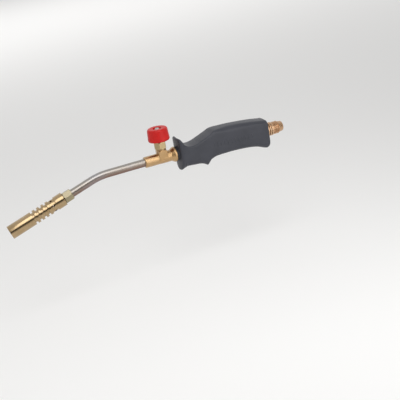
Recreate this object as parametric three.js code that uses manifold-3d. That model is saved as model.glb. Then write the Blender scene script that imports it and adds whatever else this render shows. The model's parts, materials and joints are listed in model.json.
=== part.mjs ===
// Propane hand torch: brass burner, bent neck, needle valve with a red knob, two-piece handle
// and a threaded gas inlet. Millimetres, +Z up (knob side), +X towards the gas inlet.
// The origin is the centre of the inlet's end face, where a hose is screwed on.

import * as THREE from 'three';
import { mergeVertices } from 'three/addons/utils/BufferGeometryUtils.js';
import Module from 'manifold-3d';

const wasm = await Module();
wasm.setup();

// ---------------------------------------------------------------- driving dimensions

const GAP = 0.3; // clearance between pieces that touch

// Main stations. The valve line's own origin is where the spindle crosses the gas axis.
const SPINDLE_TO_INLET = 168.5;
const GAS_AXIS_HEIGHT = 2.8; // gas axis above the inlet axis
const BEND_CORNER = 83.9; // spindle to the neck's bend corner
const BEND_ANGLE = THREE.MathUtils.degToRad(17.5);
const BEND_RADIUS = 77;

// Neck tube
const NECK_RADIUS = 5;
const NECK_BORE = 3.6;
const NECK_IN_HOLDER = 6;
const NECK_IN_SLEEVE = 8;

// Burner, stations measured forward from the bend corner along the burner's axis
const HEX_REAR = 39.5;
const HEX_FLATS = 13;
const HEX_TURN = THREE.MathUtils.degToRad(-15);
const BARREL_REAR = 50.8;
const COLLAR_END = 62.3;
const RIBS_START = 70;
const RIB_PITCH = 6;
const RIB_WIDTH = 3.4;
const RIB_COUNT = 4;
const FLAME_TUBE_START = RIBS_START + RIB_PITCH * RIB_COUNT;
const BARREL_FRONT = 126.1;
const BARREL_RADIUS = 8.6;
const AIR_RADIUS = 7.55;
const GROOVE_RADIUS = 6.3;
const FLAME_BORE = 7;
const MIXING_BORE = 4;
const AIR_BORE = 5.6;
const AIR_HOLE_RADIUS = 1.5;
const AIR_HOLE_COUNT = 6;
const AIR_HOLE_TURN = THREE.MathUtils.degToRad(11);
const FLAME_STEP = 95;
const HOLDER_THICKNESS = 3;

// Valve body
const SLEEVE_FRONT = -24.3;
const SLEEVE_RADIUS = 7;
const BOSS = { halfX: 5.5, halfY: 7.2, bottom: -2.2, top: 10.6 };
const REAR_NECK_RADIUS = 7.3;
const FLARE_START = 10.8;
const FLANGE_RADIUS = 9.75;
const FLANGE_FRONT = 15.2;
const FLANGE_REAR = 17.4;
const SPIGOT_RADIUS = 6.2;
const SPIGOT_END = 28;
const NECK_STUB_RADIUS = 6.4;
const STUB_RADIUS = 5.4;
const STUB_TOP = 17;
const SEAT_HEIGHT = 1;
const SEAT_BORE = 1.3;
const CHAMBER_BORE = 3.7;
const PACKING_BORE = 4.2;
const PACKING_STEP = 12.6;

// Spindle, gland and knob, heights above the gas axis
const SPINDLE_RADIUS = 2.5;
const SPINDLE_TOP = 34.2;
const GLAND_BOTTOM = 12.3;
const GLAND_TOP = 21.8;
const GLAND_FLATS = 14;
const GLAND_TURN = THREE.MathUtils.degToRad(9);
const KNOB_BOTTOM = 23.3;
const KNOB_TOP = 39;
const KNOB_BOTTOM_RADIUS = 13.75;
const KNOB_TOP_RADIUS = 12.8;
const KNOB_RECESS_RADIUS = 5.3;
const KNOB_RECESS_FLOOR = 36.4;
const KNOB_FLUTES = 12;
const KNOB_FLUTE_DEPTH = 0.45;

// Handle: [station behind the spindle, top, bottom, half width]
const HANDLE_STATIONS = [
  [19.3, 19.7, -21.1, 13.0],
  [20.6, 20.5, -21.8, 13.6],
  [22.6, 20.0, -21.1, 13.8],
  [25.0, 17.0, -19.2, 13.4],
  [28.0, 12.3, -17.9, 13.1],
  [32.0, 9.1, -17.8, 13.0],
  [38.0, 8.0, -18.4, 13.0],
  [46.0, 9.4, -19.2, 13.0],
  [52.0, 11.6, -21.5, 13.0],
  [55.0, 12.6, -23.4, 13.0],
  [58.0, 13.8, -20.6, 13.0],
  [61.0, 14.9, -17.9, 13.0],
  [65.0, 16.5, -16.3, 13.0],
  [70.0, 19.0, -15.3, 13.0],
  [80.0, 19.5, -15.0, 13.0],
  [92.0, 19.4, -15.0, 13.0],
  [106.0, 18.3, -15.8, 13.0],
  [118.0, 17.0, -17.2, 13.0],
  [128.0, 15.7, -19.5, 13.0],
  [136.0, 14.3, -22.8, 13.0],
  [140.5, 13.5, -24.0, 13.0],
  [143.2, 13.2, -22.5, 13.0],
  [144.5, 12.2, -20.8, 12.6],
];
// Rounding of the handle's long edges: [station, top width, top height, foot width, foot height]
const HANDLE_CORNERS = [
  [19.3, 6.0, 5.5, 12.0, 14.0],
  [22.6, 6.0, 5.5, 12.0, 14.0],
  [26.0, 4.0, 3.5, 8.0, 8.0],
  [32.0, 2.2, 2.0, 6.0, 6.0],
  [62.0, 2.4, 2.2, 6.0, 6.0],
  [72.0, 5.0, 4.5, 6.0, 6.0],
  [90.0, 8.0, 7.0, 6.0, 6.0],
  [144.5, 6.0, 5.0, 6.5, 6.5],
];
const CORNER_STEPS = 4;
const CROWN_HEIGHT = 0.7; // rise of the top face in its middle
const GUARD_BOW = 0.0125; // the guard's face curves back by this much times its width squared
const GUARD_DEPTH = 9; // length over which the bow fades out
const SEAL_SEAT_RADIUS = 9.2;
const CAVITY_STATIONS = [
  [24.5, 7.5, -14.0, 9.8, 3.0],
  [34.0, 5.6, -14.6, 10.0, 3.0],
  [46.0, 6.0, -15.6, 10.0, 3.0],
  [66.0, 13.4, -13.0, 10.0, 3.0],
  [80.0, 16.0, -12.1, 10.0, 3.0],
  [106.0, 15.0, -12.8, 10.0, 3.0],
  [128.0, 12.4, -16.2, 10.0, 3.0],
  [141.0, 9.8, -18.4, 10.0, 3.0],
];
const HANDLE_FRONT = HANDLE_STATIONS[0][0];
const HANDLE_REAR = HANDLE_STATIONS.at(-1)[0];
const CAVITY_REAR = CAVITY_STATIONS.at(-1)[0];
const SECTION_POINTS = 24;
const BOSS_RADIUS = 3.6;
const SCREW_SITES = [
  [36, -11.2],
  [76, 11.8],
  [131, -13.0],
];
const SCREW_HEAD_SEAT = 9.5;
const SCREW_SHANK = 1.4;
const CLAMP_STATIONS = [60, 104];
const CLAMP_THICKNESS = 3;

// Supply tube and inlet
const SUPPLY_RADIUS = 4.5;
const SUPPLY_BORE = 3.2;
const SUPPLY_START = 20;
const SUPPLY_END = 144;
const INLET_DROP = -GAS_AXIS_HEIGHT;
const SHOULDER_START = 136;
const SHOULDER_RADIUS = 9.2;
const SHANK_RADIUS = 7;
const INLET_COLLAR = { start: 145.3, end: 153.4, radius: 9, groove: 8.5 };
const THREAD_RADIUS = 8.33;
const THREAD_END = 161.6;
const INLET_BORE = 4;
const INLET_MOUTH = 5;
const NOSE_RADIUS = 6.4;
const FILTER = { start: 149, end: 157, radius: 3.65, wall: 0.7 };

// ---------------------------------------------------------------- solids

/** One closed body: shared vertices merged, empty triangles dropped, faces pointing outward. */
function closedBody(geometry) {
  const bare = geometry.clone();
  bare.deleteAttribute('normal');
  bare.deleteAttribute('uv');
  const merged = mergeVertices(bare, 1e-4);
  const point = (i) => new THREE.Vector3().fromBufferAttribute(merged.attributes.position, i);
  const triangles = [];
  let volume = 0;
  for (let k = 0; k < merged.index.count; k += 3) {
    const [a, b, c] = [0, 1, 2].map((j) => merged.index.getX(k + j));
    if (a === b || b === c || c === a) continue;
    triangles.push([a, b, c]);
    volume += point(a).dot(point(b).cross(point(c)));
  }
  const indices = triangles.flatMap(([a, b, c]) => (volume > 0 ? [a, b, c] : [a, c, b]));
  merged.setIndex(indices);
  return merged;
}

function toSolid(geometry) {
  const body = closedBody(geometry);
  const mesh = new wasm.Mesh({
    numProp: 3,
    vertProperties: new Float32Array(body.attributes.position.array),
    triVerts: new Uint32Array(body.index.array),
  });
  return new wasm.Manifold(mesh);
}

function toGeometry(solid) {
  const mesh = solid.getMesh();
  const geometry = new THREE.BufferGeometry();
  geometry.setAttribute('position', new THREE.BufferAttribute(mesh.vertProperties, 3));
  geometry.setIndex(new THREE.BufferAttribute(mesh.triVerts, 1));
  geometry.computeVertexNormals();
  return geometry;
}

function cut(base, ...tools) {
  return tools.reduce((solid, tool) => solid.subtract(tool), base);
}

function join(base, ...others) {
  return others.reduce((solid, other) => solid.add(other), base);
}

/** Turns a closed profile of [station, radius] points about the X axis. */
function turnedX(profile, segments = 32) {
  const points = profile.map(([station, radius]) => new THREE.Vector2(radius, station));
  points.push(points[0].clone());
  return new THREE.LatheGeometry(points, segments).rotateZ(-Math.PI / 2);
}

/** Turns a closed profile of [height, radius] points about the Z axis. */
function turnedZ(profile, segments = 32) {
  return turnedX(profile, segments).rotateY(-Math.PI / 2);
}

function rodX(start, end, radius, segments = 24) {
  return toSolid(turnedX([[start, 0], [start, radius], [end, radius], [end, 0]], segments));
}

function rodZ(start, end, radius, segments = 24) {
  return toSolid(turnedZ([[start, 0], [start, radius], [end, radius], [end, 0]], segments));
}

function rodY(start, end, radius, x, z, segments = 16) {
  const rod = turnedX([[start, 0], [start, radius], [end, radius], [end, 0]], segments);
  return toSolid(rod.rotateZ(Math.PI / 2).translate(x, 0, z));
}

function block(low, high) {
  const size = high.map((value, k) => value - low[k]);
  const centre = high.map((value, k) => (value + low[k]) / 2);
  return toSolid(new THREE.BoxGeometry(...size).translate(...centre));
}

/** Hexagon prism along X with its corners chamfered at both ends. */
function hexagonX(start, end, flats, turn, chamfer = 1) {
  const corner = flats / Math.sqrt(3);
  const prism = new THREE.CylinderGeometry(corner, corner, end - start, 6)
    .rotateY(turn)
    .rotateZ(-Math.PI / 2)
    .translate((start + end) / 2, 0, 0);
  const face = flats / 2 - 0.1;
  const rounded = turnedX([
    [start, 0],
    [start, face],
    [start + chamfer, corner + 0.1],
    [end - chamfer, corner + 0.1],
    [end, face],
    [end, 0],
  ]);
  return toSolid(prism).intersect(toSolid(rounded));
}

/** Loft through rings of points, closed by a fan at each end. */
function loft(rings) {
  const count = rings[0].length;
  const points = rings.flat();
  const indices = [];
  for (let r = 0; r + 1 < rings.length; r += 1) {
    for (let i = 0; i < count; i += 1) {
      const a = r * count + i;
      const b = r * count + ((i + 1) % count);
      indices.push(a, b, a + count, b, b + count, a + count);
    }
  }
  for (const [ring, first] of [[rings[0], 0], [rings.at(-1), (rings.length - 1) * count]]) {
    const centre = points.length;
    points.push(ring.reduce((sum, p) => sum.add(p), new THREE.Vector3()).divideScalar(count));
    for (let i = 0; i < count; i += 1) {
      const a = first + i;
      const b = first + ((i + 1) % count);
      indices.push(...(first === 0 ? [b, a, centre] : [a, b, centre]));
    }
  }
  const geometry = new THREE.BufferGeometry().setFromPoints(points);
  geometry.setIndex(indices);
  return geometry;
}

/** Ring of a squared ellipse in the plane X = station. */
function section([station, top, bottom, halfWidth, squareness]) {
  const middle = (top + bottom) / 2;
  const halfHeight = (top - bottom) / 2;
  const squared = (value) => Math.sign(value) * Math.abs(value) ** (2 / squareness);
  return Array.from({ length: SECTION_POINTS }, (_, i) => {
    const angle = ((i + 0.5) / SECTION_POINTS) * Math.PI * 2;
    const y = halfWidth * squared(Math.cos(angle));
    const z = middle + halfHeight * squared(Math.sin(angle));
    return new THREE.Vector3(station, y, z);
  });
}

/** Corner sizes of the handle at a station, eased between the listed ones. */
function cornersAt(station) {
  const next = HANDLE_CORNERS.findIndex(([place]) => place >= station);
  if (next <= 0) return HANDLE_CORNERS.at(next).slice(1);
  const [before, after] = [HANDLE_CORNERS[next - 1], HANDLE_CORNERS[next]];
  const share = THREE.MathUtils.smoothstep(station, before[0], after[0]);
  return before.slice(1).map((size, k) => THREE.MathUtils.lerp(size, after[k + 1], share));
}

/** Ring of the handle: a crowned top, flat sides and four rounded corners. */
function handleSection([station, top, bottom, halfWidth]) {
  const [topWide, topHigh, footWide, footHigh] = cornersAt(station);
  const half = [[0, top]];
  const flat = halfWidth - topWide;
  const shoulder = top - CROWN_HEIGHT * (flat / halfWidth) ** 2 - topHigh;
  const quarter = (step) => (step / CORNER_STEPS) * (Math.PI / 2);
  for (let step = 0; step <= CORNER_STEPS; step += 1) {
    const turn = quarter(step);
    half.push([flat + topWide * Math.sin(turn), shoulder + topHigh * Math.cos(turn)]);
  }
  for (let step = 0; step <= CORNER_STEPS; step += 1) {
    const turn = quarter(step);
    const y = halfWidth - footWide * (1 - Math.cos(turn));
    half.push([y, bottom + footHigh * (1 - Math.sin(turn))]);
  }
  half.push([0, bottom]);
  const mirrored = half.slice(1, -1).reverse().map(([y, z]) => [-y, z]);
  const fade = 1 - THREE.MathUtils.smoothstep(station, 20, 20 + GUARD_DEPTH);
  return [...half, ...mirrored].map(([y, z]) => (
    new THREE.Vector3(station + GUARD_BOW * fade * y * y, y, z)
  ));
}

// ---------------------------------------------------------------- materials

function finish(color, roughness, metalness) {
  return new THREE.MeshStandardMaterial({ color, roughness, metalness });
}

const burnerBrass = () => finish(0xc2a878, 0.25, 1);
const valveBrass = () => finish(0xd2a35f, 0.3, 1);
const inletBrass = () => finish(0xd19a63, 0.3, 1);
const steel = () => finish(0x9a948f, 0.35, 1);
const zinc = () => finish(0xb9bcc0, 0.35, 1);
const rubber = () => finish(0x1b1b1d, 0.7, 0);
const packingWhite = () => finish(0xe6e3da, 0.6, 0);
const knobRed = () => finish(0xc1282c, 0.4, 0);
const handleGrey = () => finish(0x50525a, 0.5, 0);

function piece(name, geometry, material) {
  const mesh = new THREE.Mesh(closedBody(geometry), material);
  mesh.geometry.computeVertexNormals();
  mesh.name = name;
  return mesh;
}

// ---------------------------------------------------------------- burner

function burnerBarrel() {
  const outline = [
    [BARREL_REAR, AIR_BORE],
    [BARREL_REAR, BARREL_RADIUS - 0.4],
    [BARREL_REAR + 0.4, BARREL_RADIUS],
    [COLLAR_END, BARREL_RADIUS],
    [COLLAR_END, AIR_RADIUS],
    [RIBS_START, AIR_RADIUS],
  ];
  for (let rib = 0; rib < RIB_COUNT; rib += 1) {
    const start = RIBS_START + rib * RIB_PITCH;
    outline.push([start, BARREL_RADIUS], [start + RIB_WIDTH, BARREL_RADIUS]);
    outline.push([start + RIB_WIDTH, GROOVE_RADIUS], [start + RIB_PITCH, GROOVE_RADIUS]);
  }
  outline.push(
    [FLAME_TUBE_START, BARREL_RADIUS],
    [BARREL_FRONT - 0.6, BARREL_RADIUS],
    [BARREL_FRONT, BARREL_RADIUS - 0.6],
    [BARREL_FRONT, FLAME_BORE],
    [FLAME_STEP, FLAME_BORE],
    [FLAME_STEP, MIXING_BORE],
    [RIBS_START + RIB_PITCH / 2, MIXING_BORE],
    [RIBS_START, AIR_BORE],
  );
  const holeStation = (COLLAR_END + RIBS_START) / 2;
  const holes = Array.from({ length: AIR_HOLE_COUNT }, (_, k) => {
    const turn = AIR_HOLE_TURN + (k / AIR_HOLE_COUNT) * Math.PI * 2;
    const rod = turnedX([[3, 0], [3, AIR_HOLE_RADIUS], [10, AIR_HOLE_RADIUS], [10, 0]], 12);
    return toSolid(rod.rotateZ(Math.PI / 2).rotateX(turn).translate(holeStation, 0, 0));
  });
  return piece('burner_barrel', toGeometry(cut(toSolid(turnedX(outline, 36)), ...holes)), burnerBrass());
}

function flameHolder() {
  const start = FLAME_STEP + GAP;
  const disc = rodX(start, start + HOLDER_THICKNESS, FLAME_BORE - GAP, 32);
  const drill = (radius, y, z) => {
    const rod = [[start - 1, 0], [start - 1, radius], [start + HOLDER_THICKNESS + 1, radius]];
    rod.push([start + HOLDER_THICKNESS + 1, 0]);
    return toSolid(turnedX(rod, 10).translate(0, y, z));
  };
  const holes = Array.from({ length: 8 }, (_, k) => {
    const angle = (k / 8) * Math.PI * 2;
    return drill(0.9, 4.4 * Math.cos(angle), 4.4 * Math.sin(angle));
  });
  return piece('flame_holder', toGeometry(cut(disc, drill(1.8, 0, 0), ...holes)), burnerBrass());
}

const HOLDER_FACE = 57.5;

function jetHolder() {
  const hexagon = hexagonX(HEX_REAR, BARREL_REAR - GAP, HEX_FLATS, HEX_TURN);
  const shank = rodX(BARREL_REAR - 2, HOLDER_FACE, AIR_BORE - GAP);
  const socket = rodX(HEX_REAR - 1, HEX_REAR + NECK_IN_HOLDER + GAP, NECK_RADIUS + GAP);
  const gasBore = rodX(HEX_REAR, HOLDER_FACE + 1, 2.5, 16);
  return piece('jet_holder', toGeometry(cut(join(hexagon, shank), socket, gasBore)), burnerBrass());
}

function jetSeal() {
  const start = HOLDER_FACE + GAP;
  const ring = [[start, 2.6], [start, 3.6], [start + 0.9, 3.6], [start + 0.9, 2.6]];
  return piece('jet_seal', turnedX(ring, 20), rubber());
}

function gasJet() {
  const head = HOLDER_FACE + 0.9 + 2 * GAP;
  const profile = [
    [HOLDER_FACE - 5, 1.1],
    [HOLDER_FACE - 5, 2.2],
    [head, 2.2],
    [head, 3.6],
    [head + 2, 3.6],
    [head + 2, 2.4],
    [head + 5, 1.4],
    [head + 5, 0.4],
    [head + 1, 0.4],
    [head, 1.1],
  ];
  return piece('gas_jet', turnedX(profile, 20), valveBrass());
}

// ---------------------------------------------------------------- neck

/** Neck path in the valve line, from inside the jet holder round the bend into the sleeve. */
function neckPath() {
  const corner = new THREE.Vector3(-BEND_CORNER, 0, 0);
  const forward = new THREE.Vector3(-Math.cos(BEND_ANGLE), 0, -Math.sin(BEND_ANGLE));
  const tangent = BEND_RADIUS * Math.tan(BEND_ANGLE / 2);
  const along = (distance) => corner.clone().addScaledVector(forward, distance);
  const bendRear = new THREE.Vector3(-BEND_CORNER + tangent, 0, 0);
  const rear = new THREE.Vector3(SLEEVE_FRONT + NECK_IN_SLEEVE, 0, 0);
  const path = new THREE.CurvePath();
  path.add(new THREE.LineCurve3(along(HEX_REAR + NECK_IN_HOLDER), along(tangent)));
  path.add(new THREE.QuadraticBezierCurve3(along(tangent), corner, bendRear));
  path.add(new THREE.LineCurve3(bendRear, rear));
  return path;
}

function pipe(path, radius, bore, steps) {
  const wall = new THREE.Shape().absarc(0, 0, radius, 0, Math.PI * 2);
  wall.holes.push(new THREE.Path().absarc(0, 0, bore, 0, Math.PI * 2, true));
  return new THREE.ExtrudeGeometry(wall, { extrudePath: path, steps, curveSegments: 9 });
}

function neckTube() {
  return piece('neck_tube', pipe(neckPath(), NECK_RADIUS, NECK_BORE, 20), steel());
}

// ---------------------------------------------------------------- valve

function valveBody() {
  const outline = turnedX([
    [SLEEVE_FRONT, 0],
    [SLEEVE_FRONT, SLEEVE_RADIUS - 0.8],
    [SLEEVE_FRONT + 0.8, SLEEVE_RADIUS],
    [0, SLEEVE_RADIUS],
    [0, REAR_NECK_RADIUS],
    [FLARE_START, REAR_NECK_RADIUS],
    [FLANGE_FRONT, FLANGE_RADIUS],
    [FLANGE_REAR, FLANGE_RADIUS],
    [FLANGE_REAR, SPIGOT_RADIUS],
    [SPIGOT_END, SPIGOT_RADIUS],
    [SPIGOT_END, 0],
  ]);
  const squareBoss = block(
    [-BOSS.halfX, -BOSS.halfY, BOSS.bottom],
    [BOSS.halfX, BOSS.halfY, BOSS.top],
  );
  const bossCrown = toSolid(turnedZ([
    [BOSS.bottom - 1, 0],
    [BOSS.bottom - 1, 9.5],
    [BOSS.top - 1.6, 9.5],
    [BOSS.top, 7.4],
    [BOSS.top, 0],
  ]));
  const neck = rodZ(0, GLAND_BOTTOM - GAP, NECK_STUB_RADIUS);
  const stub = rodZ(0, STUB_TOP, STUB_RADIUS);
  const body = join(toSolid(outline), squareBoss.intersect(bossCrown), neck, stub);

  const neckSocket = rodX(SLEEVE_FRONT - 1, SLEEVE_FRONT + NECK_IN_SLEEVE + GAP, NECK_RADIUS + GAP);
  const outletBore = rodX(SLEEVE_FRONT, -2.2, 2, 16);
  const inletBore = rodX(-0.8, SPIGOT_END + 1, 1.8, 16).translate([0, 0, -1.6]);
  const supplySocket = rodX(SUPPLY_START - GAP, SPIGOT_END + 1, SUPPLY_RADIUS + GAP);
  const seatBore = rodZ(-2, SEAT_HEIGHT + 1, SEAT_BORE, 16);
  const chamber = rodZ(SEAT_HEIGHT, STUB_TOP + 1, CHAMBER_BORE);
  const packingBore = rodZ(PACKING_STEP, STUB_TOP + 1, PACKING_BORE);
  const bores = [neckSocket, outletBore, inletBore, supplySocket, seatBore, chamber, packingBore];
  return piece('valve_body', toGeometry(cut(body, ...bores)), valveBrass());
}

function valveSpindle() {
  const profile = [
    [-0.2, 0],
    [SEAT_HEIGHT, SEAT_BORE - GAP],
    [SEAT_HEIGHT + 1.2, 1.9],
    [3.4, 1.9],
    [3.6, 3.3],
    [8.5, 3.3],
    [8.7, 2],
    [10.7, 2],
    [10.9, SPINDLE_RADIUS],
    [SPINDLE_TOP, SPINDLE_RADIUS],
    [SPINDLE_TOP, 1.5],
    [SPINDLE_TOP - 8, 1.5],
    [SPINDLE_TOP - 8.6, 0],
  ];
  return piece('valve_spindle', turnedZ(profile, 24), valveBrass());
}

function spindleORing() {
  const ring = new THREE.TorusGeometry(2.85, 0.55, 8, 20).translate(0, 0, 9.7);
  return piece('spindle_o_ring', ring, rubber());
}

function ringZ(name, bottom, top, inner, outer, material) {
  const ring = [[bottom, inner], [bottom, outer], [top, outer], [top, inner]];
  return piece(name, turnedZ(ring, 24), material);
}

function packingWasher() {
  return ringZ('packing_washer', PACKING_STEP + GAP, 13.7, 2.85, PACKING_BORE - GAP, valveBrass());
}

function glandPacking() {
  return ringZ('gland_packing', 14, 16.8, 2.85, PACKING_BORE - GAP, packingWhite());
}

function glandNut() {
  const outside = hexagonX(GLAND_BOTTOM, GLAND_TOP, GLAND_FLATS, GLAND_TURN, 1.2);
  const upright = toSolid(toGeometry(outside).rotateY(-Math.PI / 2));
  const threadBore = rodZ(GLAND_BOTTOM - 1, STUB_TOP + GAP, STUB_RADIUS + GAP);
  const spindleBore = rodZ(GLAND_BOTTOM, GLAND_TOP + 1, SPINDLE_RADIUS + GAP);
  return piece('gland_nut', toGeometry(cut(upright, threadBore, spindleBore)), valveBrass());
}

// ---------------------------------------------------------------- knob

function knob() {
  const body = toSolid(turnedZ([
    [KNOB_BOTTOM, 0],
    [KNOB_BOTTOM, KNOB_BOTTOM_RADIUS - 1.2],
    [KNOB_BOTTOM + 1.2, KNOB_BOTTOM_RADIUS],
    [KNOB_TOP - 1.8, KNOB_TOP_RADIUS],
    [KNOB_TOP - 0.5, KNOB_TOP_RADIUS - 0.7],
    [KNOB_TOP, KNOB_TOP_RADIUS - 2],
    [KNOB_TOP, 0],
  ], 48));
  const fluteRadius = 2.6;
  const flutes = Array.from({ length: KNOB_FLUTES }, (_, k) => {
    const angle = ((k + 0.5) / KNOB_FLUTES) * Math.PI * 2;
    const reach = KNOB_BOTTOM_RADIUS + fluteRadius - KNOB_FLUTE_DEPTH - 0.4;
    const rod = rodZ(KNOB_BOTTOM - 1, KNOB_TOP + 1, fluteRadius, 12);
    return rod.translate([reach * Math.cos(angle), reach * Math.sin(angle), 0]);
  });
  const recess = rodZ(KNOB_RECESS_FLOOR, KNOB_TOP + 1, KNOB_RECESS_RADIUS, 32);
  const spindleBore = rodZ(KNOB_BOTTOM - 1, SPINDLE_TOP + GAP, SPINDLE_RADIUS + GAP);
  const screwBore = rodZ(SPINDLE_TOP, KNOB_TOP, 1.7, 16);
  const hollow = toSolid(turnedZ([
    [KNOB_BOTTOM - 1, 5],
    [KNOB_BOTTOM - 1, 11.2],
    [KNOB_BOTTOM + 8, 10.6],
    [KNOB_BOTTOM + 8, 5],
  ]));
  const tools = [...flutes, recess, spindleBore, screwBore, hollow];
  return piece('knob', toGeometry(cut(body, ...tools)), knobRed());
}

const WASHER_TOP = KNOB_RECESS_FLOOR + GAP + 0.7;

function knobWasher() {
  return ringZ('knob_washer', KNOB_RECESS_FLOOR + GAP, WASHER_TOP, 1.7, 3.9, zinc());
}

function knobScrew() {
  const seat = WASHER_TOP + GAP / 2;
  const shank = turnedZ([
    [SPINDLE_TOP - 7, 0],
    [SPINDLE_TOP - 7, 1.2],
    [seat, 1.2],
    [seat, 3.1],
    [seat + 0.9, 3.1],
    [seat + 1.5, 2.2],
    [seat + 1.5, 0],
  ], 24);
  const slot = block([-4, -0.4, seat + 0.7], [4, 0.4, seat + 3]);
  return piece('knob_screw', toGeometry(cut(toSolid(shank), slot)), zinc());
}

// ---------------------------------------------------------------- handle and supply

function flangeSeal() {
  const front = FLANGE_REAR + GAP;
  const rear = HANDLE_FRONT - GAP;
  const ring = [[front, 6.6], [front, 8.9], [rear, 8.9], [rear, 6.6]];
  return piece('flange_seal', turnedX(ring, 28), rubber());
}

/** Height of the supply tube's axis at a station: level, a gentle crank, then level again. */
function supplyHeight(station) {
  const share = THREE.MathUtils.smoothstep(station, 62, 100);
  return INLET_DROP * share;
}

function supplyPath() {
  const stations = [SUPPLY_START, 40, 62, 72, 81, 90, 100, 122, SUPPLY_END];
  return new THREE.CatmullRomCurve3(
    stations.map((station) => new THREE.Vector3(station, 0, supplyHeight(station))),
  );
}

function supplyTube() {
  return piece('supply_tube', pipe(supplyPath(), SUPPLY_RADIUS, SUPPLY_BORE, 16), steel());
}

/** One handle half: side is -1 for the -Y half and +1 for the +Y half. */
function handleHalf(name, side) {
  const skin = toSolid(loft(HANDLE_STATIONS.map(handleSection)));
  const outside = join(skin, rodX(HANDLE_FRONT, HANDLE_FRONT + 4, SEAL_SEAT_RADIUS, 36));
  const cavity = toSolid(loft(CAVITY_STATIONS.map(section)));
  const splitFace = side * (GAP / 2);
  const wide = side * 30;
  const halfSpace = block(
    [HANDLE_FRONT - 1, Math.min(splitFace, wide), -40],
    [HANDLE_REAR + 1, Math.max(splitFace, wide), 40],
  );
  const reach = side * 12.5;
  const posts = SCREW_SITES.map(([x, z]) => (
    rodY(Math.min(0, reach), Math.max(0, reach), BOSS_RADIUS, x, z)
  ));
  const clamps = CLAMP_STATIONS.map((station) => block(
    [station, -12.5, supplyHeight(station) - 9],
    [station + CLAMP_THICKNESS, 12.5, supplyHeight(station) + 9],
  ));
  const core = join(cut(outside, cavity), ...posts, ...clamps);
  const half = core.intersect(outside).intersect(halfSpace);

  const drill = side > 0 ? SCREW_SHANK + 0.5 : SCREW_SHANK + GAP;
  const screwBores = SCREW_SITES.map(([x, z]) => rodY(-9, 20, drill, x, z));
  const headSeats = SCREW_SITES.map(([x, z]) => rodY(SCREW_HEAD_SEAT, 20, 3.7, x, z));
  const spigotBore = rodX(HANDLE_FRONT - 1, SPIGOT_END + 1, SPIGOT_RADIUS + GAP);
  const tubeBores = CLAMP_STATIONS.map((station) => (
    rodX(station - 1, station + CLAMP_THICKNESS + 1, SUPPLY_RADIUS + 0.5)
      .translate([0, 0, supplyHeight(station + CLAMP_THICKNESS / 2)])
  ));
  const inletBore = rodX(CAVITY_REAR - 1, HANDLE_REAR + 1, SHANK_RADIUS + GAP)
    .translate([0, 0, INLET_DROP]);
  const tools = [...screwBores, ...headSeats, spigotBore, ...tubeBores, inletBore];
  return piece(name, toGeometry(cut(half, ...tools)), handleGrey());
}

function handleScrew(index) {
  const [x, z] = SCREW_SITES[index];
  const seat = SCREW_HEAD_SEAT + GAP;
  const profile = [
    [-8, 0],
    [-7, SCREW_SHANK],
    [seat, SCREW_SHANK],
    [seat, 3.1],
    [seat + 1.6, 3.1],
    [seat + 2.2, 2.2],
    [seat + 2.2, 0],
  ];
  const shaft = toSolid(turnedX(profile, 16).rotateZ(Math.PI / 2).translate(x, 0, z));
  const slot = block([x - 2.2, seat + 1, z - 0.4], [x + 2.2, seat + 4, z + 0.4]);
  const crossSlot = block([x - 0.4, seat + 1, z - 2.2], [x + 0.4, seat + 4, z + 2.2]);
  return piece(`handle_screw_${index + 1}`, toGeometry(cut(shaft, slot, crossSlot)), zinc());
}

function inletConnector() {
  const { start, end, radius, groove } = INLET_COLLAR;
  const beads = [];
  const beadCount = 3;
  const beadPitch = (end - start) / beadCount;
  for (let bead = 0; bead < beadCount; bead += 1) {
    const from = start + bead * beadPitch;
    beads.push([from, groove], [from + 0.5, radius], [from + beadPitch - 0.5, radius]);
  }
  const profile = [
    [SHOULDER_START, SUPPLY_RADIUS + GAP],
    [SHOULDER_START, SHOULDER_RADIUS],
    [CAVITY_REAR - GAP, SHOULDER_RADIUS],
    [CAVITY_REAR - GAP, SHANK_RADIUS],
    [start, SHANK_RADIUS],
    ...beads,
    [end, groove],
    [end, THREAD_RADIUS],
    [THREAD_END, THREAD_RADIUS],
    [THREAD_END + 2.2, NOSE_RADIUS + 0.9],
    [SPINDLE_TO_INLET - 1, NOSE_RADIUS + 0.4],
    [SPINDLE_TO_INLET, NOSE_RADIUS],
    [SPINDLE_TO_INLET, INLET_MOUTH],
    [SPINDLE_TO_INLET - 2, INLET_BORE],
    [FILTER.start - GAP, INLET_BORE],
    [FILTER.start - GAP, SUPPLY_BORE - 0.2],
    [SUPPLY_END + GAP, SUPPLY_BORE - 0.2],
    [SUPPLY_END + GAP, SUPPLY_RADIUS + GAP],
  ];
  const fitting = turnedX(profile, 36).translate(0, 0, INLET_DROP);
  return piece('inlet_connector', fitting, inletBrass());
}

function inletFilter() {
  const { start, end, radius, wall } = FILTER;
  const thimble = turnedX([
    [start, 0],
    [start, radius - 0.5],
    [start + 0.5, radius],
    [end, radius],
    [end, radius - wall],
    [start + wall, radius - wall],
    [start + wall, 0],
  ], 24);
  return piece('inlet_filter', thimble.translate(0, 0, INLET_DROP), zinc());
}

// ---------------------------------------------------------------- assembly

const burnerLine = new THREE.Group();
burnerLine.position.set(-BEND_CORNER, 0, 0);
burnerLine.rotation.y = Math.PI - BEND_ANGLE;
burnerLine.add(burnerBarrel(), flameHolder(), jetHolder(), jetSeal(), gasJet());

const knobAssembly = new THREE.Group();
knobAssembly.add(valveSpindle(), knob(), knobWasher(), knobScrew());

const handle = new THREE.Group();
handle.add(handleHalf('handle_left', -1), handleHalf('handle_right', 1));
handle.add(...SCREW_SITES.map((_, index) => handleScrew(index)));

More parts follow.
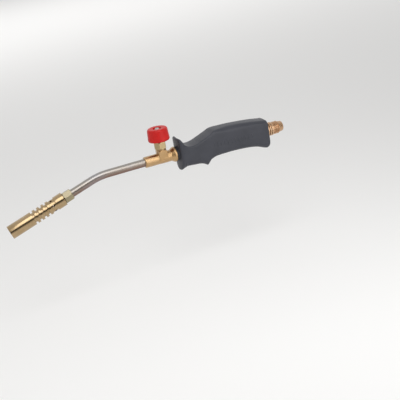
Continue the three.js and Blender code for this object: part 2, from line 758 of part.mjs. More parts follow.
const valveLine = new THREE.Group();
valveLine.position.set(-SPINDLE_TO_INLET, 0, GAS_AXIS_HEIGHT);
valveLine.add(burnerLine, neckTube(), valveBody(), spindleORing(), packingWasher());
valveLine.add(glandPacking(), glandNut(), knobAssembly, flangeSeal(), handle);
valveLine.add(supplyTube(), inletConnector(), inletFilter());

const torch = new THREE.Group();
torch.add(valveLine);

export default torch;
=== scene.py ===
import json
import math

import bmesh
import bpy
from mathutils import Matrix, Vector


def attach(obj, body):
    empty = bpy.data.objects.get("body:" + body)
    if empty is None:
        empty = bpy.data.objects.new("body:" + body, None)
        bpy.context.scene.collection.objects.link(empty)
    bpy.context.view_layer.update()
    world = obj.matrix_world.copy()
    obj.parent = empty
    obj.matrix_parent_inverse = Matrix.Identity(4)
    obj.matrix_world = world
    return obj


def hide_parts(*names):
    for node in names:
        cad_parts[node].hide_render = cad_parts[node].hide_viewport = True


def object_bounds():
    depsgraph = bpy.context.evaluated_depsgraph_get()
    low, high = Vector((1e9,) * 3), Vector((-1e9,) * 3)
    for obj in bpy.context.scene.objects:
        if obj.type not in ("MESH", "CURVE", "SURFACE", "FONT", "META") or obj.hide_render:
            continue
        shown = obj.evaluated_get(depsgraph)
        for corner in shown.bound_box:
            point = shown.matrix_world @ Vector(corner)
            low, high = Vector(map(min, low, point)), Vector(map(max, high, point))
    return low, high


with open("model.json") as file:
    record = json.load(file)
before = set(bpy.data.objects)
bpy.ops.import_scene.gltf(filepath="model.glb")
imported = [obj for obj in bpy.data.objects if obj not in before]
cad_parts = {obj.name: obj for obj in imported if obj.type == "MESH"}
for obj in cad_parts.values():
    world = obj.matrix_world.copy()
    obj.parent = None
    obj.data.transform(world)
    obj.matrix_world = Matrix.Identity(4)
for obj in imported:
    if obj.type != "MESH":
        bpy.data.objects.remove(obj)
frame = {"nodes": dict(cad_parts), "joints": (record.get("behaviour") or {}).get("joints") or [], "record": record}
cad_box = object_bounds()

MM = 0.001
TAU = 2 * math.pi
UP = Vector((0, 0, 1))

# ------------------------------------------------------------------ places, from the frame

record = frame["record"]
mounts = {mount["name"]: mount for mount in record["mounts"]}
joints = {joint["name"]: joint for joint in frame["joints"]}
slots = {part["node"]: part["material_slot"] for part in record["subparts"]}
spindle = Vector(joints["knob_turn"]["pos_m"])
forward = Vector(mounts["burner_mouth_face"]["axis"]).normalized()
mouth = Vector(mounts["burner_mouth_face"]["pos_m"])
mouth.y = 0.0

ROOT = "torch"
TURNING = "knob_and_spindle"


def bend_corner():
    """Where the burner's axis meets the gas axis."""
    reach = (spindle.z - mouth.z) / -forward.z
    return mouth - forward * reach


corner = bend_corner()
burner_length = (mouth - corner).length / MM


def frame_along(origin, direction):
    """Placement whose local X runs along direction and whose local Z leans upwards."""
    x = direction.normalized()
    y = UP.cross(x).normalized()
    z = x.cross(y)
    place = Matrix((x, y, z)).transposed().to_4x4()
    place.translation = origin
    return place


BURNER = frame_along(corner, forward)
GAS = frame_along(spindle, Vector((1, 0, 0)))
INLET = frame_along(Vector((0, 0, 0)), Vector((1, 0, 0)))
UPRIGHT = Matrix.Translation(spindle) @ Matrix.Rotation(-math.pi / 2, 4, "Y")

# ------------------------------------------------------------------ mesh tools, millimetres

# Degrees between two faces past which their edge shades sharp, by how the piece is made
TURNED_ANGLE = 32
MOULDED_ANGLE = 38
CAST_ANGLE = 60
# A profile's corner flatter than this isn't rounded
NEARLY_STRAIGHT = math.radians(172)
# Millimetres that count as none, and metres between two points that are joined into one
TINY = 1e-6
WELD = 1e-7


def ease(t):
    """0 to 1, slow at both ends."""
    t = min(max(t, 0.0), 1.0)
    return t * t * (3 - 2 * t)


def finish_shading(mesh, angle):
    for polygon in mesh.polygons:
        polygon.use_smooth = True
    mesh.set_sharp_from_angle(angle=math.radians(angle))


def build(name, points, faces, place=Matrix.Identity(4), angle=TURNED_ANGLE):
    """Object from points in millimetres, placed by a matrix in metres."""
    mesh = bpy.data.meshes.new(name)
    mesh.from_pydata([tuple(c * MM for c in point) for point in points], [], faces)
    mesh.validate()
    work = bmesh.new()
    work.from_mesh(mesh)
    bmesh.ops.remove_doubles(work, verts=work.verts, dist=WELD)
    bmesh.ops.recalc_face_normals(work, faces=work.faces)
    work.to_mesh(mesh)
    work.free()
    finish_shading(mesh, angle)
    piece = bpy.data.objects.new(name, mesh)
    bpy.context.scene.collection.objects.link(piece)
    piece.matrix_world = place
    return piece


def softened(profile, radius, steps=3):
    """The same closed profile with each corner off the axis rounded."""
    rounded = []
    count = len(profile)
    for index, (station, distance) in enumerate(profile):
        here = Vector((station, distance))
        before = Vector(profile[index - 1]) - here
        after = Vector(profile[(index + 1) % count]) - here
        no_corner = distance < TINY or before.length < TINY or after.length < TINY
        if no_corner or before.angle(after) > NEARLY_STRAIGHT:
            rounded.append((station, distance))
            continue
        turn = before.angle(after)
        reach = min(radius / math.tan(turn / 2), 0.45 * before.length, 0.45 * after.length)
        first = here + before.normalized() * reach
        last = here + after.normalized() * reach
        for step in range(steps + 1):
            t = step / steps
            point = first * (1 - t) ** 2 + here * 2 * t * (1 - t) + last * t ** 2
            rounded.append((point.x, max(point.y, 0.0)))
    return rounded


def turned(name, profile, place, segments, shape=None):
    """Closed profile of (station, radius) turned about local X.

    shape(station, turn, radius) gives the radius at a turn, where it isn't the same all round.
    """
    points, rings = [], []
    for station, radius in profile:
        if radius < TINY:
            rings.append([len(points)])
            points.append((station, 0.0, 0.0))
            continue
        ring = []
        for k in range(segments):
            turn = TAU * k / segments
            reach = shape(station, turn, radius) if shape else radius
            ring.append(len(points))
            points.append((station, reach * math.cos(turn), reach * math.sin(turn)))
        rings.append(ring)
    faces = []
    for first, second in zip(rings, rings[1:] + rings[:1]):
        if len(first) == 1 and len(second) == 1:
            continue
        for k in range(segments):
            a, b = first[k % len(first)], first[(k + 1) % len(first)]
            c, d = second[(k + 1) % len(second)], second[k % len(second)]
            faces.append([v for n, v in enumerate((a, b, c, d)) if v not in (a, b, c, d)[:n]])
    return build(name, points, faces, place)


def combined(name, base, others, operation="DIFFERENCE", angle=TURNED_ANGLE):
    """base joined with or cut by the others, which are used up."""
    for other in others:
        modifier = base.modifiers.new("combine", "BOOLEAN")
        modifier.operation = operation
        modifier.solver = "MANIFOLD"
        modifier.object = other
    applied(base)
    for other in others:
        bpy.data.objects.remove(other)
    base.name = name
    finish_shading(base.data, angle)
    return base


def applied(piece):
    """Applies every modifier of the piece to its mesh."""
    bpy.context.view_layer.update()
    graph = bpy.context.evaluated_depsgraph_get()
    mesh = bpy.data.meshes.new_from_object(piece.evaluated_get(graph))
    piece.modifiers.clear()
    piece.data = mesh
    return piece


def rod(place, start, end, radius, segments):
    """Plain round bar along local X."""
    return turned("rod", [(start, 0), (start, radius), (end, radius), (end, 0)], place, segments)


def cuboid(place, low, high):
    """Block between two opposite corners."""
    xs, ys, zs = zip(low, high)
    points = [(x, y, z) for x in xs for y in ys for z in zs]
    faces = [(0, 1, 3, 2), (4, 6, 7, 5), (0, 4, 5, 1), (2, 3, 7, 6), (0, 2, 6, 4), (1, 5, 7, 3)]
    return build("cuboid", points, faces, place)


def prism(place, start, end, flats, turn):
    """Hexagonal prism along local X; flats is the width across its flats."""
    sides = 6
    reach = flats / 2 / math.cos(math.pi / sides)
    ring = [(reach * math.cos(turn + TAU * k / sides), reach * math.sin(turn + TAU * k / sides))
            for k in range(sides)]
    points = [(x, y, z) for x in (start, end) for y, z in ring]
    faces = [tuple(range(sides)), tuple(range(2 * sides - 1, sides - 1, -1))]
    faces += [(k, (k + 1) % sides, sides + (k + 1) % sides, sides + k) for k in range(sides)]
    return build("prism", points, faces, place)


def cast(piece, voxel, rounds):
    """Melts overlapping solids of one mesh into a single one with small soft edges."""
    remesh = piece.modifiers.new("melt", "REMESH")
    remesh.mode = "VOXEL"
    remesh.voxel_size = voxel * MM
    smooth = piece.modifiers.new("ease", "SMOOTH")
    smooth.factor = 0.5
    smooth.iterations = rounds
    applied(piece)
    finish_shading(piece.data, CAST_ANGLE)
    return piece


def merged(name, pieces):
    """One object holding the meshes of all the pieces, in the first one's place."""
    base = pieces[0]
    work = bmesh.new()
    back = base.matrix_world.inverted()
    for piece in pieces:
        mesh = piece.data.copy()
        mesh.transform(back @ piece.matrix_world)
        work.from_mesh(mesh)
        bpy.data.meshes.remove(mesh)
    work.to_mesh(base.data)
    work.free()
    for piece in pieces[1:]:
        bpy.data.objects.remove(piece)
    base.name = name
    return base


# ------------------------------------------------------------------ burner's sizes

# Stations are millimetres from the bend corner, and radii millimetres from the burner's axis
COLLAR_START, COLLAR_END = 50.8, 62.3
RIBS_START = 70.0
RIB_PITCH = 6.0
RIB_WIDTH = 3.4
RIB_COUNT = 4
MIXING_START, FLAME_START = 73.0, 95.0
BARREL_RADIUS = 8.6
AIR_RADIUS = 7.55
GROOVE_RADIUS = 6.3
REAR_BORE_RADIUS, MIXING_RADIUS, FLAME_RADIUS = 5.6, 4.0, 7.0
# How many air holes there are, the first one's turn in degrees, and the radius of each
AIR_HOLES, AIR_HOLE_TURN, AIR_HOLE_RADIUS = 6, 11, 1.5

# ------------------------------------------------------------------ material tools

# Height over the groove floors, in millimetres, from which their rough finish fades
GROOVE_FADE = 0.3
# Past the end of any roughness range, so that even a little of it gives the range's roughest value
ROUGHEST = (5, 5, 5)


class Finish:
    """Small helper round one Principled material, textured in the piece's own coordinates."""

    def __init__(self, name, color, roughness, metallic=0.0, **sockets):
        self.material = bpy.data.materials.new(name)
        self.material.use_nodes = True
        self.tree = self.material.node_tree
        self.shader = self.tree.nodes["Principled BSDF"]
        texture = self.add("ShaderNodeTexCoord")
        self.coords = texture.outputs["Object"]
        self.normals = texture.outputs["Normal"]
        self.shader.inputs["Base Color"].default_value = (*color, 1)
        self.shader.inputs["Roughness"].default_value = roughness
        self.shader.inputs["Metallic"].default_value = metallic
        for socket, value in sockets.items():
            self.shader.inputs[socket.replace("_", " ")].default_value = value

    def add(self, kind, **settings):
        node = self.tree.nodes.new(kind)
        for key, value in settings.items():
            setattr(node, key, value)
        return node

    def link(self, source, target):
        self.tree.links.new(source, target)

    def scaled(self, scale):
        """The piece's coordinates, multiplied by a scale along each axis."""
        node = self.add("ShaderNodeMapping")
        node.inputs["Scale"].default_value = scale
        self.link(self.coords, node.inputs["Vector"])
        return node.outputs["Vector"]

    def noise(self, scale, detail=3.0, stretch=(1, 1, 1), roughness=0.55):
        node = self.add("ShaderNodeTexNoise")
        node.inputs["Scale"].default_value = scale
        node.inputs["Detail"].default_value = detail
        node.inputs["Roughness"].default_value = roughness
        self.link(self.scaled(stretch), node.inputs["Vector"])
        return node.outputs["Fac"]

    def rings(self, per_metre, distortion=0.5):
        """Fine rings round local X, as a lathe tool leaves."""
        node = self.add("ShaderNodeTexWave", wave_type="BANDS", bands_direction="X")
        node.inputs["Scale"].default_value = per_metre
        node.inputs["Distortion"].default_value = distortion
        node.inputs["Detail"].default_value = 2.0
        self.link(self.coords, node.inputs["Vector"])
        return node.outputs["Fac"]

    def ramp(self, source, stops):
        node = self.add("ShaderNodeValToRGB")
        elements = node.color_ramp.elements
        while len(elements) < len(stops):
            elements.new(0.5)
        for element, (position, color) in zip(elements, stops):
            element.position = position
            element.color = (*color, 1) if hasattr(color, "__len__") else (color, color, color, 1)
        self.link(source, node.inputs["Fac"])
        return node.outputs["Color"]

    def mix(self, factor, first, second):
        """Between first at factor 0 and second at 1; each is a socket or a plain color."""
        node = self.add("ShaderNodeMix", data_type="RGBA")
        self.link(factor, next(s for s in node.inputs if s.name == "Factor" and s.type == "VALUE"))
        for name, value in (("A", first), ("B", second)):
            socket = next(s for s in node.inputs if s.name == name and s.type == "RGBA")
            if isinstance(value, bpy.types.NodeSocket):
                self.link(value, socket)
            else:
                socket.default_value = (*value, 1)
        return next(s for s in node.outputs if s.type == "RGBA")

    def normal_up(self):
        """0 where the surface looks down and 1 where it looks up, in the piece's own frame."""
        split = self.add("ShaderNodeSeparateXYZ")
        self.link(self.normals, split.inputs[0])
        span = self.add("ShaderNodeMapRange")
        span.inputs["From Min"].default_value = -1.0
        self.link(split.outputs["Z"], span.inputs["Value"])
        return span.outputs["Result"]

    def edges(self, low, high):
        """1 on worn outer edges, 0 on flat and hollow places."""
        node = self.add("ShaderNodeNewGeometry")
        return self.ramp(node.outputs["Pointiness"], [(low, 0.0), (high, 1.0)])

    def color(self, source):
        self.link(source, self.shader.inputs["Base Color"])

    def deep(self, inner, outer):
        """1 at the inner radius round local X, in millimetres, falling to 0 at the outer one."""
        length = self.add("ShaderNodeVectorMath", operation="LENGTH")
        self.link(self.scaled((0, 1, 1)), length.inputs[0])
        span = self.add("ShaderNodeMapRange")
        span.inputs["From Min"].default_value = inner * MM
        span.inputs["From Max"].default_value = outer * MM
        span.inputs["To Min"].default_value = 1
        span.inputs["To Max"].default_value = 0
        self.link(length.outputs["Value"], span.inputs["Value"])
        return span.outputs["Result"]

    def roughness(self, source, low, high):
        """Roughness from low where the source is 0 to high where it is 1 or more."""
        span = self.add("ShaderNodeMapRange")
        span.inputs["To Min"].default_value = low
        span.inputs["To Max"].default_value = high
        self.link(source, span.inputs["Value"])
        self.link(span.outputs["Result"], self.shader.inputs["Roughness"])

    def bump(self, *layers):
        """Each layer is (height source, depth in millimetres)."""
        previous = None
        for source, depth in layers:
            node = self.add("ShaderNodeBump")
            node.inputs["Strength"].default_value = 1.0
            node.inputs["Distance"].default_value = depth * MM
            self.link(source, node.inputs["Height"])
            if previous:
                self.link(previous, node.inputs["Normal"])
            previous = node.outputs["Normal"]
        self.link(previous, self.shader.inputs["Normal"])


def machined_brass(name, light, dark, tint, rough=(0.16, 0.24), dull_grooves=False):
    """Brass under thin lacquer: patchy tone, fine turning rings and slightly worn edges."""
    f = Finish(name, light, rough[0], 1.0, Coat_Weight=0.7, Coat_Roughness=0.12)
    patches = f.noise(70, 4.0)
    stain = f.noise(260, 3.0)
    base = f.mix(f.ramp(patches, [(0.38, 0.0), (0.62, 1.0)]), light, dark)
    base = f.mix(f.ramp(stain, [(0.52, 0.0), (0.72, 0.5)]), base, tint)
    base = f.mix(f.edges(0.52, 0.6), base, tuple(min(1.0, c * 1.15) for c in light))
    f.color(base)
    wear = f.noise(500, 3.0)
    if dull_grooves:
        wear = f.mix(f.deep(GROOVE_RADIUS + GROOVE_FADE, AIR_RADIUS), wear, ROUGHEST)
    f.roughness(wear, *rough)
    f.bump((f.rings(1100, 1.5), 0.0006), (f.noise(600, 2.0), 0.0015))
    return f.material


def burner_brass():
    return machined_brass("burner_brass", (0.45, 0.32, 0.175), (0.39, 0.27, 0.135), (0.33, 0.275, 0.135),
                          dull_grooves=True)


def milled_brass():
    return machined_brass("milled_brass", (0.38, 0.325, 0.205), (0.34, 0.285, 0.17), (0.28, 0.27, 0.16),
                          (0.46, 0.56))


def valve_brass():
    return machined_brass("valve_brass", (0.50, 0.315, 0.145), (0.45, 0.27, 0.115), (0.42, 0.295, 0.135),
                          (0.26, 0.36))


def nut_brass():
    return machined_brass("nut_brass", (0.58, 0.44, 0.24), (0.51, 0.38, 0.2), (0.45, 0.39, 0.21),
                          (0.24, 0.34))


def inlet_brass():
    return machined_brass("inlet_brass", (0.60, 0.385, 0.225), (0.52, 0.31, 0.165), (0.43, 0.24, 0.13),
                          (0.2, 0.3))


def neck_steel():
    f = Finish("neck_steel", (0.5, 0.47, 0.44), 0.26, 1.0)
    # Painted shade with a brown tint: the steel is darker and browner where it faces down and lighter where it
    # faces up
    tint = f.ramp(f.normal_up(), [(0.25, (0.23, 0.145, 0.115)), (0.55, (0.29, 0.235, 0.20)),
                                  (0.80, (0.37, 0.34, 0.305))])
    drift = f.noise(45, 3.0, (0.6, 1, 1))
    shade_and_blueing = f.mix(f.ramp(drift, [(0.45, 0.0), (0.65, 0.5)]), tint, (0.34, 0.35, 0.40))
    specks = f.noise(700, 2.0)
    f.color(f.mix(f.ramp(specks, [(0.6, 0.0), (0.8, 0.35)]), shade_and_blueing, (0.30, 0.22, 0.17)))
    f.roughness(f.noise(500, 3.0, (0.15, 1, 1)), 0.26, 0.38)
    f.bump((f.noise(1200, 2.0, (0.12, 1, 1)), 0.002))
    return f.material


def zinc_steel():
    f = Finish("zinc_steel", (0.62, 0.62, 0.60), 0.28, 1.0)
    f.color(f.mix(f.noise(900), (0.64, 0.63, 0.60), (0.50, 0.50, 0.49)))
    f.roughness(f.noise(1500), 0.24, 0.42)
    f.bump((f.noise(3000), 0.002))
    return f.material


def black_rubber():
    f = Finish("black_rubber", (0.02, 0.02, 0.022), 0.6)
    f.color(f.mix(f.noise(1200), (0.014, 0.014, 0.016), (0.035, 0.035, 0.038)))
    f.roughness(f.noise(1800), 0.5, 0.75)
    f.bump((f.noise(3000), 0.006))
    return f.material


def white_packing():
    f = Finish("white_packing", (0.8, 0.78, 0.72), 0.5)
    f.color(f.mix(f.noise(800), (0.82, 0.80, 0.75), (0.74, 0.72, 0.66)))
    f.roughness(f.noise(1500), 0.4, 0.6)
    f.bump((f.noise(3000), 0.006))
    return f.material


def red_plastic():
    f = Finish("red_plastic", (0.6, 0.018, 0.016), 0.34, Specular_IOR_Level=0.2)
    cloud = f.noise(120, 3.0)
    base = f.mix(f.ramp(cloud, [(0.35, 0.0), (0.7, 1.0)]), (0.56, 0.017, 0.015), (0.48, 0.013, 0.012))
    scuffs = f.noise(420, 5.0, (1, 1, 0.4), 0.7)
    f.color(f.mix(f.ramp(scuffs, [(0.64, 0.0), (0.82, 0.2)]), base, (0.66, 0.05, 0.045)))
    f.roughness(f.noise(900, 3.0), 0.3, 0.4)
    f.bump((f.noise(1400, 3.0), 0.002))
    return f.material


def grey_plastic():
    f = Finish("grey_plastic", (0.06, 0.063, 0.074), 0.42, Specular_IOR_Level=0.35)
    cloud = f.noise(60, 3.0)
    base = f.mix(f.ramp(cloud, [(0.35, 0.0), (0.7, 1.0)]), (0.046, 0.048, 0.060), (0.038, 0.040, 0.050))
    scuffs = f.noise(220, 5.0, (0.35, 1, 1), 0.7)
    base = f.mix(f.ramp(scuffs, [(0.60, 0.0), (0.78, 0.35)]), base, (0.066, 0.068, 0.077))
    f.color(base)
    f.roughness(f.noise(700, 3.0), 0.34, 0.46)
    f.bump((f.noise(1500, 3.0, roughness=0.7), 0.012))
    return f.material


MATERIALS = {
    "burner_brass": burner_brass(),
    "milled_brass": milled_brass(),
    "valve_brass": valve_brass(),
    "nut_brass": nut_brass(),
    "inlet_brass": inlet_brass(),
    "neck_steel": neck_steel(),
    "zinc_steel": zinc_steel(),
    "black_rubber": black_rubber(),
    "white_packing": white_packing(),
    "red_plastic": red_plastic(),
    "grey_plastic": grey_plastic(),
}


def dress(piece, slot):
    piece.data.materials.clear()
    piece.data.materials.append(MATERIALS[slot])


def stand_for(piece, node, body=ROOT, finish=None):
    """piece takes the CAD node's place, body and material slot; finish is a variant of the slot's."""
    dress(piece, finish or slots[node])
    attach(piece, body)
    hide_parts(node)


# ------------------------------------------------------------------ camera


def add_camera():
    """The viewing angle: from the burner's side, a little above, rolled, with no shift."""
    azimuth, elevation = math.radians(-18.77), math.radians(20.96)
    roll, distance = math.radians(10.3), 1016.0 * MM
    aim = Vector((-140.7, -32.4, -53.9)) * MM
    back = Vector((math.sin(azimuth) * math.cos(elevation),
                   -math.cos(azimuth) * math.cos(elevation), math.sin(elevation)))
    right = UP.cross(back).normalized()
    up = back.cross(right)
    turned_right = right * math.cos(roll) - up * math.sin(roll)
    turned_up = right * math.sin(roll) + up * math.cos(roll)
    place = Matrix((turned_right, turned_up, back)).transposed().to_4x4()
    place.translation = aim + back * distance
    data = bpy.data.cameras.new("camera")
    data.sensor_width = 36.0
    data.lens = 72.89
    camera = bpy.data.objects.new("camera", data)
    bpy.context.scene.collection.objects.link(camera)
    camera.matrix_world = place
    bpy.context.scene.camera = camera


# ------------------------------------------------------------------ burner


def burner_barrel():
    """Turned tube with collar and cooling ribs, drilled with a ring of air holes."""
    outline = [(COLLAR_START, REAR_BORE_RADIUS), (COLLAR_START, BARREL_RADIUS),
               (COLLAR_END, BARREL_RADIUS), (COLLAR_END, AIR_RADIUS), (RIBS_START, AIR_RADIUS)]
    for rib in range(RIB_COUNT):
        start = RIBS_START + rib * RIB_PITCH
        outline += [(start, BARREL_RADIUS), (start + RIB_WIDTH, BARREL_RADIUS),
                    (start + RIB_WIDTH, GROOVE_RADIUS), (start + RIB_PITCH, GROOVE_RADIUS)]
    outline.append((RIBS_START + RIB_PITCH * RIB_COUNT, BARREL_RADIUS))
    outline += [(burner_length, BARREL_RADIUS), (burner_length, FLAME_RADIUS),
                (FLAME_START, FLAME_RADIUS), (FLAME_START, MIXING_RADIUS),
                (MIXING_START, MIXING_RADIUS), (RIBS_START, REAR_BORE_RADIUS)]
    barrel = turned("burner_barrel_body", softened(outline, 0.3), BURNER, 160)
    station = (COLLAR_END + RIBS_START) / 2
    drills = []
    for hole in range(AIR_HOLES):
        turn = math.radians(AIR_HOLE_TURN + 360 / AIR_HOLES * hole)
        place = BURNER @ Matrix.Translation((station * MM, 0, 0)) @ Matrix.Rotation(turn, 4, "X")
        drills.append(rod(place @ Matrix.Rotation(math.pi / 2, 4, "Z"), 3, 10, AIR_HOLE_RADIUS, 40))
    stand_for(combined("burner_barrel_body", barrel, drills), "burner_barrel")


def flame_holder():
    """Disc with one hole in the middle and a ring of smaller ones."""
    start, end, radius = FLAME_START + 0.3, FLAME_START + 3.3, 6.7
    outline = [(start, 0), (start, radius), (end, radius), (end, 0)]
    disc = turned("flame_disc", softened(outline, 0.2), BURNER, 96)
    drills = [rod(BURNER, start - 1, end + 1, 1.8, 40)]
    holes, ring_radius = 8, 4.4 * MM
    for hole in range(holes):
        turn = TAU * hole / holes
        shift = Matrix.Translation((0, ring_radius * math.cos(turn), ring_radius * math.sin(turn)))
        drills.append(rod(BURNER @ shift, start - 1, end + 1, 0.9, 24))
    stand_for(combined("flame_disc", disc, drills), "flame_holder")


def hexagon(name, place, start, end, flats, turn, chamfer):
    """Hexagon with corners turned off at both ends."""
    reach = flats / math.sqrt(3)
    face = flats / 2 - 0.2
    blank = turned("blank", [(start, 0), (start, face), (start + chamfer, reach + 0.1),
                             (end - chamfer, reach + 0.1), (end, face), (end, 0)], place, 120)
    return combined(name, prism(place, start, end, flats, turn), [blank], "INTERSECT")


def jet_holder():
    """Hexagon with a round stem, bored for the neck tube and the gas."""
    body = hexagon("jet_holder_body", BURNER, 39.5, 50.5, 13, math.radians(15), 1.0)
    body = merged("jet_holder_body", [body, rod(BURNER, 50, 57.5, 5.3, 64)])
    cast(body, 0.14, 2)
    socket = rod(BURNER, 38, 45.8, 5.15, 64)
    bore = rod(BURNER, 44, 59, 2.5, 32)
    body = combined("jet_holder_body", body, [socket, bore], angle=CAST_ANGLE)
    stand_for(body, "jet_holder", finish="milled_brass")


# ------------------------------------------------------------------ neck


# The rear end's place along X from the spindle, and the front end's from the bend corner along the burner
NECK_REAR, NECK_FRONT = -16.3, 45.5
BEND_RADIUS, BEND_STEPS = 77.0, 24
TUBE_RADIUS, TUBE_BORE_RADIUS = 5.0, 3.6


def neck_line():
    """Spots of the neck's middle line, in x and z from the spindle, each with its bend so far."""
    tilt = math.acos(-forward.x)
    tangent = BEND_RADIUS * math.tan(tilt / 2)
    corner_x = (corner.x - spindle.x) / MM
    centre = Vector((corner_x + tangent, -BEND_RADIUS))
    line = []
    for t in (0, 0.25, 0.5, 0.75):
        line.append((Vector((NECK_REAR + (centre.x - NECK_REAR) * t, 0.0)), 0.0))
    for step in range(BEND_STEPS + 1):
        bend = tilt * step / BEND_STEPS
        spot = centre + Vector((-math.sin(bend), math.cos(bend))) * BEND_RADIUS
        line.append((spot, bend))
    ahead = Vector((-math.cos(tilt), -math.sin(tilt)))
    for t in (0.25, 0.5, 0.75, 1.0):
        line.append((Vector((corner_x, 0)) + ahead * (tangent + (NECK_FRONT - tangent) * t), tilt))
    return line


def neck_tube():
    """Tube that runs straight, bends and runs straight again."""
    line = neck_line()
    segments, points, faces = 64, [], []
    for radius_here, order in ((TUBE_RADIUS, line), (TUBE_BORE_RADIUS, line[::-1])):
        for spot, bend in order:
            normal = Vector((-math.sin(bend), math.cos(bend)))
            for k in range(segments):
                turn = TAU * k / segments
                lift = normal * (radius_here * math.cos(turn))
                points.append((spot.x + lift.x, radius_here * math.sin(turn), spot.y + lift.y))
    rows = len(points) // segments
    for row in range(rows):
        here, after = row * segments, (row + 1) % rows * segments
        for k in range(segments):
            beside = (k + 1) % segments
            faces.append((here + k, here + beside, after + beside, after + k))
    stand_for(build("neck_tube_bent", points, faces, Matrix.Translation(spindle)), "neck_tube")


# ------------------------------------------------------------------ valve


def valve_body():
    """Round body along the gas line with a square boss and a neck for the spindle, cast as one."""
    line = turned("valve_casting", softened([
        (-24.3, 0), (-24.3, 6.3), (-23.6, 7.0), (-5, 7.0), (0, 7.3), (10.8, 7.3), (15.0, 9.75),
        (17.4, 9.75), (17.4, 6.2), (28, 6.2), (28, 0)], 0.3), GAS, 128)
    boss = cuboid(GAS, (-5.5, -7.2, -2.2), (5.5, 7.2, 10.6))
    crown = turned("crown", [(-4, 0), (-4, 9.3), (9.2, 9.3), (10.6, 7.2), (10.6, 0)], UPRIGHT, 96)
    boss = combined("boss", boss, [crown], "INTERSECT")
    neck = turned("neck", [(0, 0), (0, 6.4), (12.0, 6.4), (12.0, 5.4), (17, 5.4), (17, 0)], UPRIGHT, 96)
    body = cast(merged("valve_casting", [line, boss, neck]), 0.2, 3)
    bores = [rod(GAS, -26, -16, 5.15, 64), rod(GAS, 19.7, 30, 4.8, 64),
             rod(UPRIGHT, 1, 19, 3.7, 48), rod(GAS, -17, -2.2, 2, 32), rod(UPRIGHT, -2, 2, 1.3, 24)]
    stand_for(combined("valve_casting", body, bores, angle=CAST_ANGLE), "valve_body")


def gland_nut():
    """Hexagon nut round the spindle, hollow for the packing."""
    nut = hexagon("gland_nut_body", UPRIGHT, 12.3, 21.8, 14, math.radians(39), 1.2)
    cast(nut, 0.14, 2)
    bores = [rod(UPRIGHT, 11, 17.3, 5.6, 64), rod(UPRIGHT, 12, 23, 2.8, 48)]
    stand_for(combined("gland_nut_body", nut, bores, angle=CAST_ANGLE), "gland_nut")


def valve_spindle():
    """Needle, o-ring groove and stem, with a hole in its top for the knob screw."""
    profile = [(-0.2, 0), (1, 1.0), (2.2, 1.9), (3.4, 1.9), (3.6, 3.3), (8.5, 3.3), (8.7, 2), (10.7, 2),
               (10.9, 2.5), (34.2, 2.5), (34.2, 1.5), (26.2, 1.5), (25.6, 0)]
    stand_for(turned("valve_spindle_stem", softened(profile, 0.15), UPRIGHT, 64), "valve_spindle", TURNING)


# ------------------------------------------------------------------ knob

KNOB_FOOT, KNOB_HEAD = 23.3, 39.0
# Only what lies outside this radius is fluted
GRIP_RADIUS = 11.5
FLUTES, FLUTE_DEPTH = 12, 0.1


def knob():
    """Hollow moulding whose grip tapers upwards and carries very shallow flutes."""
    outline = softened([
        (KNOB_FOOT, 2.8), (KNOB_FOOT, 5.0), (31.3, 5.0), (31.3, 10.6), (KNOB_FOOT, 11.2),
        (KNOB_FOOT, 13.2), (24.6, 13.75), (37.0, 12.85), (38.4, 12.2), (KNOB_HEAD, 10.9),
        (KNOB_HEAD, 5.7), (38.5, 5.3), (36.4, 5.3), (36.4, 1.7), (34.6, 1.7), (34.6, 2.8)], 0.5, 4)
    tall = []
    for (z0, r0), (z1, r1) in zip(outline, outline[1:] + outline[:1]):
        pieces = max(1, int(abs(z1 - z0)))
        tall += [(z0 + (z1 - z0) * k / pieces, r0 + (r1 - r0) * k / pieces) for k in range(pieces)]

    def fluted(height, turn, radius):
        if radius < GRIP_RADIUS:
            return radius
        fade = ease((KNOB_HEAD - 1.0 - height) / 2.5)
        return radius - FLUTE_DEPTH * fade * (0.5 + 0.5 * math.cos(FLUTES * turn))

    stand_for(turned("knob_moulding", tall, UPRIGHT, 240, fluted), "knob", TURNING)


def knob_fastening():
    """Washer and slotted screw in the knob's recess."""
    base = 36.7
    ring = [(base, 1.7), (base, 3.9), (base + 0.7, 3.9), (base + 0.7, 1.7)]
    stand_for(turned("knob_washer_ring", softened(ring, 0.12), UPRIGHT, 64), "knob_washer", TURNING)
    seat = base + 0.85
    head = [(27.2, 0), (27.2, 1.2), (seat, 1.2), (seat, 3.1), (seat + 0.7, 3.1), (seat + 1.5, 2.0),
            (seat + 1.5, 0)]
    screw = turned("knob_screw_head", softened(head, 0.2), UPRIGHT, 64)
    slot = cuboid(UPRIGHT, (seat + 0.7, -0.4, -4.0), (seat + 3, 0.4, 4.0))
    stand_for(combined("knob_screw_head", screw, [slot]), "knob_screw", TURNING)


# ------------------------------------------------------------------ handle

# Station behind the spindle, top, bottom, half width
HANDLE = [
    (19.3, 19.7, -21.1, 13.0),
    (20.6, 20.5, -21.8, 13.6),
    (22.6, 20.0, -21.1, 13.8),
    (25.0, 17.0, -19.2, 13.4),
    (28.0, 12.3, -17.9, 13.1),
    (32.0, 9.1, -17.8, 13.0),
    (38.0, 8.0, -18.4, 13.0),
    (46.0, 9.4, -19.2, 13.0),
    (52.0, 11.6, -21.5, 13.0),
    (55.0, 12.6, -23.4, 13.0),
    (58.0, 13.8, -20.6, 13.0),
    (61.0, 14.9, -17.9, 13.0),
    (65.0, 16.5, -16.3, 13.0),
    (70.0, 19.0, -15.3, 13.0),
    (80.0, 19.5, -15.0, 13.0),
    (92.0, 19.4, -15.0, 13.0),
    (106.0, 18.3, -15.8, 13.0),
    (118.0, 17.0, -17.2, 13.0),
    (128.0, 15.7, -19.5, 13.0),
    (136.0, 14.3, -22.8, 13.0),
    (140.5, 13.5, -24.0, 13.0),
    (143.2, 13.2, -22.5, 13.0),
    (144.5, 12.2, -20.8, 12.6),
]
